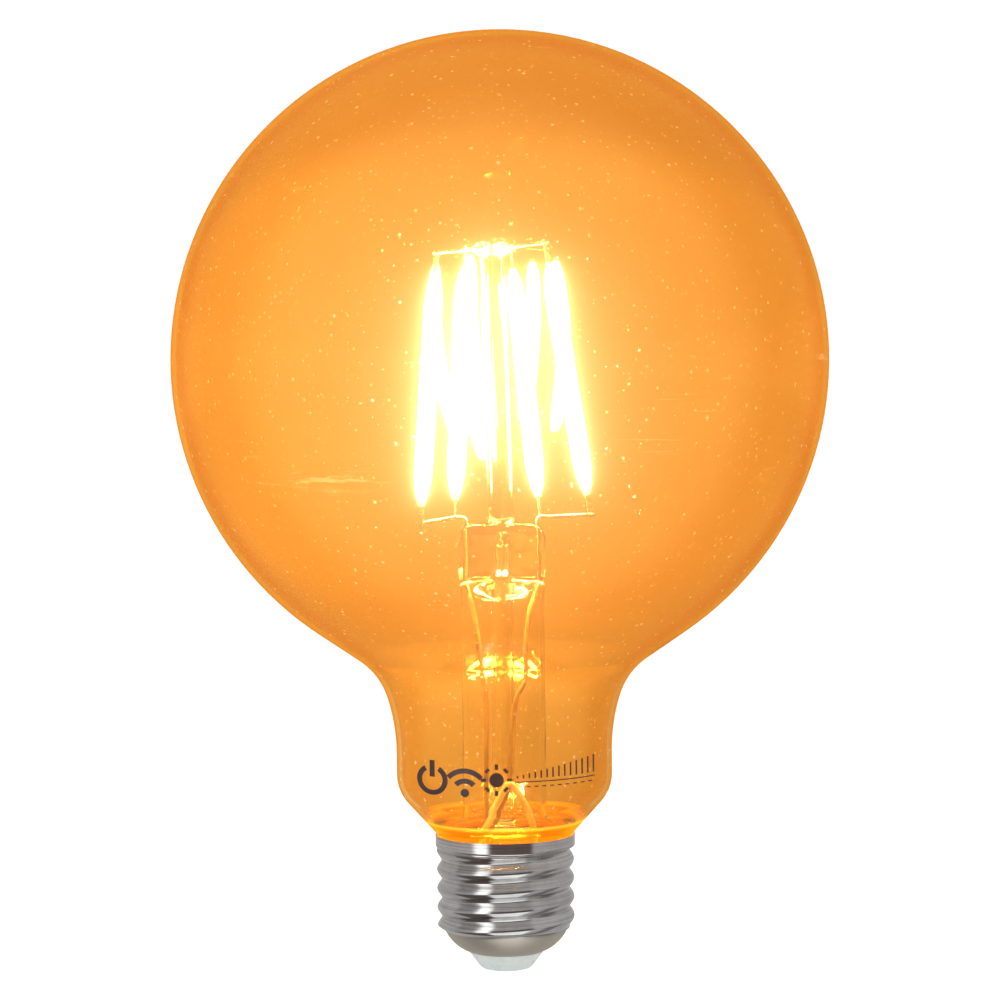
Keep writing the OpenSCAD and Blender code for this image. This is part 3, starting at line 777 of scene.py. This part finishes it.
lead_d = 0.7 * mm
lead_x = 6.8
lead_in_ends = ((-16.5, -0.4, 86), (17.95, 0.4, 87.4))
for name, x, end in (("left", -1, lead_in_ends[0]), ("right", 1, lead_in_ends[1])):
    bend = [(x * lead_x, 0, 86.02), (x * lead_x, 0, 86.45), (x * (lead_x + 0.3), 0, 86.95),
            (x * (lead_x + 1.0), 0, 87.18), (x * (lead_x + 2.3), 0, 87.1)]
    bend += [tuple(Vector(bend[-1]).lerp(Vector(end), share)) for share in (0.3, 0.7, 1.0)]
    lead_in = wire(f"lead_in_wire_{name}", bend, lead_d)
    lead_in.data.materials.append(nickel_wire)
    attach(lead_in, "root")
    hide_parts(f"lead_in_{name}")

# ---------------------------------------------------------------- Filaments
# Four rods of blue light-emitting chips on a thin ceramic strip, under a coat of yellow phosphor
# moulded round them. A flat metal tab at each end is spot-welded to its wire.

coat_len = 44.8 * mm
coat_r = 1.7 * mm
coat_end_r = 0.65 * mm
coat_taper = 7.5 * mm
chip_step = 40.5 / 26 * mm
hang_r = 10.4
hang_gap = 0.43
tab_over = 0.6 * mm
tab_size = (0.9 * mm, 0.2 * mm)
dimple_in = 0.65 * mm
dimple_r = 0.22 * mm
dimple_depth = 0.05 * mm
coat_rings = 103
ripple_depth = 0.03 * mm
lit_end = 1.5 * mm
feet = ((-15.6, -0.86, 85.9), (-9, -0.9, 87.3), (7.4, 0.9, 87.4), (17.05, 0.86, 87.3))


def lit(name, colour, glow, strength):
    """A phosphor coat that shines by itself, a little uneven where it lies over the chips."""
    material, tree, shader, position = new_material(
        name, Roughness=0.5, Emission_Color=glow, Emission_Strength=strength)
    grain = noise_field(tree, position, 900.0, 3)
    darker = tuple(0.8 * c for c in colour)
    tree.links.new(mixed(tree, grain, darker, colour), shader.inputs["Base Color"])
    return material


phosphor = lit("phosphor", (0.95, 0.72, 0.2), (1.0, 0.8, 0.45), 500.0)
phosphor_end = lit("phosphor_end", (0.95, 0.66, 0.14), (1.0, 0.66, 0.2), 12.0)


def hang_point(k):
    """Where filament k hangs beside its support wire, in millimetres."""
    turn = support_turns[k]
    side = -1 if k < 2 else 1
    z = support_z - 86 + hang_r * math.tan(math.radians(support_rise[k]))
    x = hang_r * cos_of(turn) - side * hang_gap * sin_of(turn)
    y = hang_r * sin_of(turn) + side * hang_gap * cos_of(turn)
    return Vector((x * cos_of(post_lean) - z * sin_of(post_lean), y,
                   86 + z * cos_of(post_lean) + x * sin_of(post_lean)))


def between(top, foot, turn):
    """Places what is made along Z, centred, between two points in millimetres."""
    line = top - foot
    heading = math.atan2(line.y, line.x)
    polar = math.acos(line.z / line.length)
    return (Matrix.Translation((top + foot) / 2 * mm) @ Matrix.Rotation(heading, 4, "Z")
            @ Matrix.Rotation(polar, 4, "Y")
            @ Matrix.Rotation(math.radians(turn) - heading, 4, "Z"))


half = coat_len / 2
coat_cap = [(coat_end_r + (coat_r - coat_end_r) * cos_of(a) ** 1.5,
             half - coat_taper + coat_taper * (0.35 * a / 90 + 0.65 * sin_of(a)))
            for a in range(0, 91, 9)]
coat_body = []
for i in range(coat_rings):
    z = half - coat_taper - (i + 0.5) * 2 * (half - coat_taper) / coat_rings
    ripple = ripple_depth * (math.cos(math.tau * z / chip_step) - 1) / 2
    coat_body.append((coat_r + ripple, z))
coat_line = [(0, half)] + coat_cap[::-1] + coat_body + [(r, -z) for r, z in coat_cap] + [(0, -half)]

for k in range(4):
    top = hang_point(k)
    foot = Vector(feet[k])
    hung = between(top, foot, support_turns[k])
    coat = turned(f"phosphor_rod_{k + 1}", coat_line, 40)
    coat.data.materials.append(phosphor)
    coat.data.materials.append(phosphor_end)
    for face in coat.data.polygons:
        if abs(face.center.z) > half - lit_end:
            face.material_index = 1
    coat.data.transform(hung)
    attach(coat, "root")
    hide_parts(f"filament_coat_{k + 1}")

    # One tab is a strip with eased corners and a shallow weld dimple near its tip
    tip = (top - foot).length / 2 * mm + tab_over
    root = (coat_len - 1 * mm) / 2
    bpy.ops.object.select_all(action="DESELECT")
    bpy.ops.mesh.primitive_cube_add(size=1, location=(0, 0, (tip + root) / 2),
                                    scale=(*tab_size, tip - root))
    tab = bpy.context.object
    bpy.ops.object.transform_apply(location=True, rotation=True, scale=True)
    applied(tab, "BEVEL", width=0.07 * mm, segments=3, limit_method="ANGLE")
    bpy.ops.object.mode_set(mode="EDIT")
    bpy.ops.mesh.select_all(action="SELECT")
    bpy.ops.mesh.subdivide(number_cuts=4)
    bpy.ops.object.mode_set(mode="OBJECT")
    for vertex in tab.data.vertices:
        off = Vector((vertex.co.x, vertex.co.z - (tip - dimple_in))).length
        depth = dimple_depth * math.exp(-(off / dimple_r) ** 2)
        vertex.co.y -= depth if vertex.co.y > 0 else 0.2 * depth
    bpy.ops.object.mode_set(mode="EDIT")
    bpy.ops.mesh.select_all(action="SELECT")
    bpy.ops.mesh.duplicate()
    bpy.ops.transform.rotate(value=math.pi, orient_axis="Y", center_override=(0, 0, 0))
    bpy.ops.object.mode_set(mode="OBJECT")
    finish_mesh(tab, f"weld_tabs_{k + 1}")
    tab.data.transform(hung)
    tab.data.materials.append(nickel_wire)
    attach(tab, "root")
    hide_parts(f"filament_tabs_{k + 1}")

ceramic, tree, shader, position = new_material("strip_ceramic", Roughness=0.45)
grain = noise_field(tree, position, 3000.0, 4)
tree.links.new(mixed(tree, grain, (0.62, 0.6, 0.55), (0.82, 0.81, 0.78)), shader.inputs["Base Color"])
chip, tree, shader, position = new_material(
    "led_chip", Roughness=0.25, Emission_Color=(0.12, 0.28, 1.0), Emission_Strength=4.0)
facets = noise_field(tree, position, 1800.0, 2)
tree.links.new(mixed(tree, facets, (0.1, 0.16, 0.5), (0.25, 0.4, 0.85)), shader.inputs["Base Color"])


def coat_node(material, *nodes):
    """Gives CAD nodes a material in place of their plain one."""
    for node in nodes:
        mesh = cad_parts[node].data
        mesh.materials.clear()
        mesh.materials.append(material)


for k in range(1, 5):
    coat_node(ceramic, f"filament_strip_{k}")
    coat_node(chip, f"led_chips_{k}")

# ---------------------------------------------------------------- Wires through the press
# Copper-sheathed wire is sealed in the press, and bare copper leads hang from it down the stem in
# cream sleeves. The aerial is a stiff insulated wire bent up from the radio board.

outer_lead_d = 0.5 * mm
sleeve_d = 1 * mm
sleeve_wall = 0.22 * mm
aerial_d = 1.3 * mm
copper_wire = metal("copper_wire", (0.72, 0.34, 0.17), 0.3)
seal_metal = metal("seal_wire", (0.5, 0.2, 0.12), 0.4)


def sleeve_finish(name, first, second):
    """A soft insulating sleeve with a fine woven grain along it."""
    material, tree, shader, position = new_material(name, Roughness=0.5)
    weave = noise_field(tree, stretched(tree, position, (2600, 2600, 900)), 1.0, 3)
    tree.links.new(mixed(tree, weave, first, second), shader.inputs["Base Color"])
    bumped(tree, shader, weave, 0.3, 0.05 * mm)
    return material


sleeving = sleeve_finish("sleeving", (0.23, 0.14, 0.05), (0.33, 0.22, 0.1))
aerial_sleeving = sleeve_finish("aerial_sleeving", (0.62, 0.47, 0.27), (0.75, 0.6, 0.38))

lead_paths = (
    ((-6.8, 0, 74.5), (-6.2, -0.4, 72.5), (-5.4, -1, 68), (-4.2, -1.4, 60), (-3.3, -1.6, 52),
     (-3.4, -1.6, 42), (-3.5, -1.5, 34), (-3.2, -1.6, 28), (-2.4, -2.2, 23.5), (-2.2, -0.7, 20.8)),
    ((6.8, 0, 74.5), (6.2, -0.5, 72.5), (4.9, -1.6, 68), (4.3, -2, 62), (4.1, -2.3, 57.2),
     (2, -2.9, 51.2), (0.8, -3, 36.5), (-1.2, -3.6, 30.5), (-3.6, -4.1, 24.5), (-4.6, -0.7, 20.8)))
for name, x, path in (("left", -lead_x, lead_paths[0]), ("right", lead_x, lead_paths[1])):
    seal = wire(f"sheathed_wire_{name}", [(x, 0, 74.7), (x, 0, 80), (x, 0, 86)], lead_d)
    seal.data.materials.append(seal_metal)
    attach(seal, "root")
    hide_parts(f"seal_wire_{name}")

    lead = wire(f"copper_lead_{name}", path, outer_lead_d)
    lead.data.materials.append(copper_wire)
    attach(lead, "root")
    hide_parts(f"outer_lead_{name}")

    sleeve = wire(f"cream_sleeve_{name}", path[1:9], sleeve_d, 4, False)
    applied(sleeve, "SOLIDIFY", thickness=sleeve_wall, offset=-1)
    finish_mesh(sleeve, f"cream_sleeve_{name}", 60)
    sleeve.data.materials.append(sleeving)
    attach(sleeve, "root")
    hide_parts(f"lead_sleeve_{name}")

aerial_path = ((-6.2, -3.6, 22.6), (-5, -4.2, 25), (-2.4, -4.3, 30.5), (0.1, -4.4, 35.6),
               (0.9, -4.45, 36.4), (1.8, -4.4, 35.6), (4.3, -4.2, 31), (5.7, -3.6, 26),
               (5.9, -1.6, 23), (4.8, 1.9, 21.7))
aerial = wire("aerial_wire", aerial_path, aerial_d, 5)
aerial.data.materials.append(aerial_sleeving)
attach(aerial, "root")
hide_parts("antenna_wire")

# ---------------------------------------------------------------- Basing cement
# A ring of cement, packed between the glass and the cap's collar and baked hard to hold the two
# together. It is a little rough where it shows at the rim.

collar_r = 13.4 * mm
cap_wall = 0.3 * mm
cement, tree, shader, position = new_material("basing_cement", Roughness=0.85)
grit = noise_field(tree, position, 2600.0, 6, 0.7)
tree.links.new(mixed(tree, grit, (0.16, 0.1, 0.04), (0.3, 0.2, 0.09)), shader.inputs["Base Color"])
bumped(tree, shader, grit, 0.6, 0.1 * mm)

cement_low = 24.2 * mm
cement_top = foot_c[1] + (foot_r - seam) * sin_of(155)
cement_out = collar_r - cap_wall - seam
cement_line = [(rim_r + seam, cement_low), (cement_out, cement_low), (cement_out, cement_top)]
cement_line += arc(foot_c, foot_r - seam, 155, 180, 10) + [(rim_r + seam, cement_low)]
cement_ring = turned("cement_ring", cement_line, 128)
cement_ring.data.materials.append(cement)
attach(cement_ring, "root")
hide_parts("basing_cement")

# ---------------------------------------------------------------- Screw cap
# Thin nickel-plated brass, drawn to a cup and rolled to an Edison thread that runs out into the
# collar. The plating keeps fine turning marks and a slight haze, and the bowl is duller and warmer.

crest_r = 13.2 * mm
root_r = 12.3 * mm
pitch = 3.629 * mm
crest_z = 3.24 * mm
thread_top = 23.5 * mm
thread_foot = 8.1 * mm
thread_rings = 100
collar_step = 23.95 * mm
bowl_c = (4.76 * mm, 11.07 * mm)
bowl_r = 7.72 * mm


def smooth_share(value):
    """A share held between 0 and 1, with a smooth start and end."""
    value = min(1, max(0, value))
    return (3 - 2 * value) * value * value


def thread_rise(z, heading):
    """How far the thread stands over its roots at a height and heading in turns."""
    fade = smooth_share((z - thread_foot) / (0.9 * mm))
    wave = (0.5 + 0.5 * math.cos(math.tau * ((z - crest_z) / pitch - heading))) ** 0.75
    return (crest_r - root_r) * fade * wave


def cap_line(w):
    """The cap's outline from rim to bowl, moved inwards by w."""
    collar = ((13.4, 26.3), (13.4, 26.1), (13.4, 25.2), (13.4, 24.3), (13.37, 24.12), (13.25, 23.98),
              (13.0, 23.86), (12.75, 23.76), (12.5, 23.64), (12.35, 23.56), (12.3, 23.52))
    line = [(r * mm - w, z * mm) for r, z in collar]
    line += [(root_r - w, thread_top - (thread_top - thread_foot) * i / thread_rings)
             for i in range(1, thread_rings)]
    return line + arc(bowl_c, bowl_r - w, -18, -71, 22)


nickel, tree, shader, position = new_material("cap_nickel", Metallic=1.0)
turning = placed_group(tree, drawn_marks, Vector=stretched(tree, position, (45, 45, 5200)),
                       Scale=1.0).outputs[0]
haze = noise_field(tree, position, 300.0, 5, 0.65)
bowl_share = ramped(tree, axes_of(tree, position)["Z"], 8.9 * mm, 7.5 * mm)
plate = mixed(tree, ramped(tree, turning, 0.3, 0.7), (0.46, 0.47, 0.46), (0.7, 0.71, 0.69))
plate = mixed(tree, ramped(tree, haze, 0.35, 0.7), plate, (0.86, 0.86, 0.87), "MULTIPLY")
plate = mixed(tree, bowl_share, plate, (0.66, 0.62, 0.53))
tree.links.new(plate, shader.inputs["Base Color"])
marks = math_node(tree, "ADD", math_node(tree, "MULTIPLY", turning, 0.12),
                  math_node(tree, "MULTIPLY", haze, 0.1))
rough = math_node(tree, "ADD", marks, ramped(tree, bowl_share, 0.0, 1.0, 0.03, 0.42))
tree.links.new(rough, shader.inputs["Roughness"])
bumped(tree, shader, turning, 0.25, 0.02 * mm)

cap = turned("screw_cap_shell", cap_line(0) + cap_line(cap_wall)[::-1] + cap_line(0)[:1], 180)

# The thread is rolled into the smooth sheet: the outer face to the thread, the inner a wall behind
facing_out = [vertex.normal.dot(vertex.co) > 0 for vertex in cap.data.vertices]
for vertex, outer in zip(cap.data.vertices, facing_out):
    spot = vertex.co
    radius = math.hypot(spot.x, spot.y)
    if thread_foot < spot.z < collar_step:
        inner = radius < root_r - 0.1 * mm or not outer
        rolled = root_r + thread_rise(spot.z, math.atan2(spot.y, spot.x) / math.tau)
        wanted = max(radius, rolled - (cap_wall if inner else 0))
        spot.x *= wanted / radius
        spot.y *= wanted / radius
cap.data.materials.append(nickel)
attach(cap, "root")
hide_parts("cap_shell")

# ---------------------------------------------------------------- Cap insulator and centre contact
# A pale glassy insulator fills the bowl's mouth, and a small brass button with a dab of solder is
# seated in its middle.

insulator_glass, tree, shader, position = new_material("cap_insulator", Roughness=0.3)
veins = noise_field(tree, position, 420.0, 5, 0.6)
tree.links.new(mixed(tree, veins, (0.5, 0.57, 0.56), (0.58, 0.65, 0.64)), shader.inputs["Base Color"])
tree.links.new(ramped(tree, veins, 0.3, 0.7, 0.2, 0.45), shader.inputs["Roughness"])
insulator_line = [(1.12, 5.4), (1.12, 1.02), (2.5, 1.02), (2.52, 0.62), (2.7, 0.45)]
insulator_line = [(r * mm, z * mm) for r, z in insulator_line]
insulator_line += arc((4.1 * mm, 1.7 * mm), 1.3 * mm, -90, -38, 8)
insulator_line += [(r * mm, z * mm) for r, z in (
    (5.6, 1.53), (6.2, 2.32), (6.7, 2.97), (7.02, 3.4), (7.1, 3.6), (7.1, 4.15), (8.5, 4.85),
    (8.7, 5.4), (5.6, 5.4), (4.6, 2.9), (2.6, 2.6), (2.6, 5.4), (1.12, 5.4))]
insulator = turned("insulator_glass", insulator_line, 96, 50)
insulator.data.materials.append(insulator_glass)
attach(insulator, "root")
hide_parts("cap_insulator")

contact_brass = metal("contact_brass", (0.72, 0.62, 0.4), 0.3, 900.0, (1, 1, 1), 0.2, 0.3)
contact_line = [(0, 0)] + [(r * mm, z * mm) for r, z in ((0.6, 0.0), (1.2, 0.02), (1.6, 0.0))]
contact_line += arc((1.9 * mm, 0.5 * mm), 0.5 * mm, -90, 0, 8)
contact_line += [(r * mm, z * mm) for r, z in (
    (2.4, 0.98), (1.05, 1), (1.05, 6.2), (0.9, 6.5), (0, 6.5))]
contact = turned("contact_button", contact_line, 64)
contact.data.materials.append(contact_brass)
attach(contact, "root")
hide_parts("centre_contact")

# ---------------------------------------------------------------- Print on the neck
# Plain signs in near-black glass ink, screen-printed as a thin film: on and off, wireless and
# brightness in heavy strokes, and a fine dimmer scale beside them.

ink, tree, shader, position = new_material("neck_ink", Roughness=0.4)
wear = noise_field(tree, position, 1500.0, 4, 0.7)
tree.links.new(mixed(tree, ramped(tree, wear, 0.55, 0.8), (0.009, 0.008, 0.012), (0.03, 0.026, 0.03)),
               shader.inputs["Base Color"])
tree.links.new(ramped(tree, wear, 0.3, 0.7, 0.3, 0.5), shader.inputs["Roughness"])
print_signs = []
print_y = -30 * mm
film = 0.03 * mm


def ring_sign(x, z, radius, width, gap_from=0, gap_to=0):
    """A round stroke, open between two headings in degrees counted up from +X."""
    bpy.ops.object.select_all(action="DESELECT")
    bpy.ops.mesh.primitive_circle_add(vertices=60, radius=radius * mm, fill_type="NGON",
                                      location=(x * mm, print_y, z * mm),
                                      rotation=(math.radians(90), 0, 0))
    sign = bpy.context.object
    bpy.ops.object.transform_apply(location=True, rotation=True, scale=True)
    bpy.ops.object.mode_set(mode="EDIT")
    bpy.ops.mesh.select_all(action="SELECT")
    if width < radius:
        bpy.ops.mesh.inset(thickness=width * mm)
        bpy.ops.mesh.delete(type="FACE")
    else:
        bpy.ops.mesh.inset(thickness=radius * 0.35 * mm)
        bpy.ops.mesh.inset(thickness=radius * 0.35 * mm)
    bpy.ops.mesh.select_all(action="DESELECT")
    bpy.ops.object.mode_set(mode="OBJECT")
    for face in sign.data.polygons:
        heading = math.degrees(math.atan2(face.center.z - z * mm, face.center.x - x * mm))
        face.select = (heading - gap_from) % 360 < gap_to - gap_from
    bpy.ops.object.mode_set(mode="EDIT")
    bpy.ops.mesh.delete(type="ONLY_FACE")
    bpy.ops.object.mode_set(mode="OBJECT")
    print_signs.append(sign)


def bar_sign(x, z, width, height, turn=0):
    """A straight stroke, turned by degrees about its middle."""
    bpy.ops.object.select_all(action="DESELECT")
    bpy.ops.mesh.primitive_grid_add(x_subdivisions=max(1, round(width)), size=1,
                                    y_subdivisions=max(1, round(height)),
                                    location=(x * mm, print_y, z * mm),
                                    rotation=(math.radians(90), math.radians(-turn), 0))
    sign = bpy.context.object
    sign.scale = (width * mm, height * mm, 1)
    bpy.ops.object.transform_apply(location=True, rotation=True, scale=True)
    print_signs.append(sign)


# The sign for on and off
ring_sign(-13.5, 39.0, 2.9, 0.95, 62, 118)
bar_sign(-13.5, 41.1, 0.95, 3.1)
# Wireless
ring_sign(-7.4, 36.9, 0.8, 0.8)
for arc_r in (2.7, 4.6):
    ring_sign(-7.4, 36.9, arc_r, 0.95, 137, 403)
# Brightness
ring_sign(-1.5, 39.4, 1.35, 1.35)
for turn in range(0, 360, 45):
    bar_sign(-1.5 + 2.45 * sin_of(turn), 39.4 + 2.45 * cos_of(turn), 0.6, 1.0, turn)
# Dimmer scale
for step in range(14):
    bar_sign(2.4 + 1.1 * step, 39.9 + 0.11 * step, 0.28, 0.5 + 0.22 * step)
bar_sign(9.5, 39.0, 14.8, 0.2)
for step in range(10):
    bar_sign(3.0 + 1.45 * step, 38.1, 0.7, 0.22)

# All the strokes are joined, wrapped on the neck along Y and given the thickness of the ink
bpy.ops.object.select_all(action="DESELECT")
for sign in print_signs:
    sign.select_set(True)
bpy.context.view_layer.objects.active = print_signs[0]
bpy.ops.object.join()
neck_print = bpy.context.object
neck_print.name = "neck_print"
applied(neck_print, "SHRINKWRAP", target=globe, wrap_method="PROJECT", use_project_y=True,
        use_positive_direction=True, use_negative_direction=False)
bpy.ops.object.mode_set(mode="EDIT")
bpy.ops.mesh.select_all(action="SELECT")
bpy.ops.mesh.normals_make_consistent(inside=False)
bpy.ops.object.mode_set(mode="OBJECT")
if sum(face.normal.y for face in neck_print.data.polygons) > 0:
    neck_print.data.flip_normals()
applied(neck_print, "SOLIDIFY", thickness=film, offset=1)
finish_mesh(neck_print, "neck_print", 30)
neck_print.data.materials.append(ink)
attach(neck_print, "root")

# ---------------------------------------------------------------- Driver inside the cap
# A power supply on an upright green board, and a small blue radio board on top. They sit hidden
# in the cap in a clear insulating sleeve.


def enamel(name, first, second, rough, scale, bumps=0.0):
    """A painted, moulded or coated finish with a fine mottle."""
    material, tree, shader, position = new_material(name)
    mottle = placed_group(tree, drawn_marks, Vector=position, Scale=scale).outputs[0]
    tree.links.new(mixed(tree, ramped(tree, mottle, 0.3, 0.7), first, second),
                   shader.inputs["Base Color"])
    tree.links.new(ramped(tree, mottle, 0.3, 0.7, rough, rough + 0.15), shader.inputs["Roughness"])
    if bumps:
        bumped(tree, shader, mottle, bumps, 0.05 * mm)
    return material


coat_node(enamel("board_sleeve", (0.7, 0.7, 0.66), (0.82, 0.82, 0.78), 0.35, 700.0), "board_sleeve")
coat_node(enamel("board_green", (0.01, 0.12, 0.04), (0.02, 0.2, 0.07), 0.3, 900.0), "driver_board")
coat_node(enamel("board_blue", (0.01, 0.05, 0.2), (0.02, 0.09, 0.32), 0.3, 900.0), "radio_board")
coat_node(enamel("chip_black", (0.012, 0.012, 0.013), (0.03, 0.03, 0.032), 0.45, 3000.0, 0.3),
          "bridge_rectifier", "driver_chip", "radio_chip", "chip_resistors")
coat_node(enamel("capacitor_sleeve", (0.02, 0.03, 0.08), (0.04, 0.05, 0.12), 0.3, 500.0),
          "reservoir_capacitor")
coat_node(enamel("ferrite", (0.03, 0.03, 0.035), (0.07, 0.07, 0.075), 0.6, 2500.0, 0.5), "inductor_core")
coat_node(enamel("chip_capacitor", (0.42, 0.3, 0.18), (0.55, 0.42, 0.28), 0.4, 2000.0),
          "chip_capacitors")
coat_node(enamel("resistor_body", (0.1, 0.3, 0.32), (0.16, 0.42, 0.44), 0.35, 1500.0),
          "fusible_resistor")
coat_node(metal("shield_can", (0.66, 0.66, 0.64), 0.3, 1200.0), "radio_shield", "radio_crystal",
          "radio_pins")
coat_node(metal("winding_wire", (0.6, 0.25, 0.1), 0.25, 1600.0, (1, 1, 6)), "inductor_winding",
          "centre_contact_wire", "side_contact_wire")
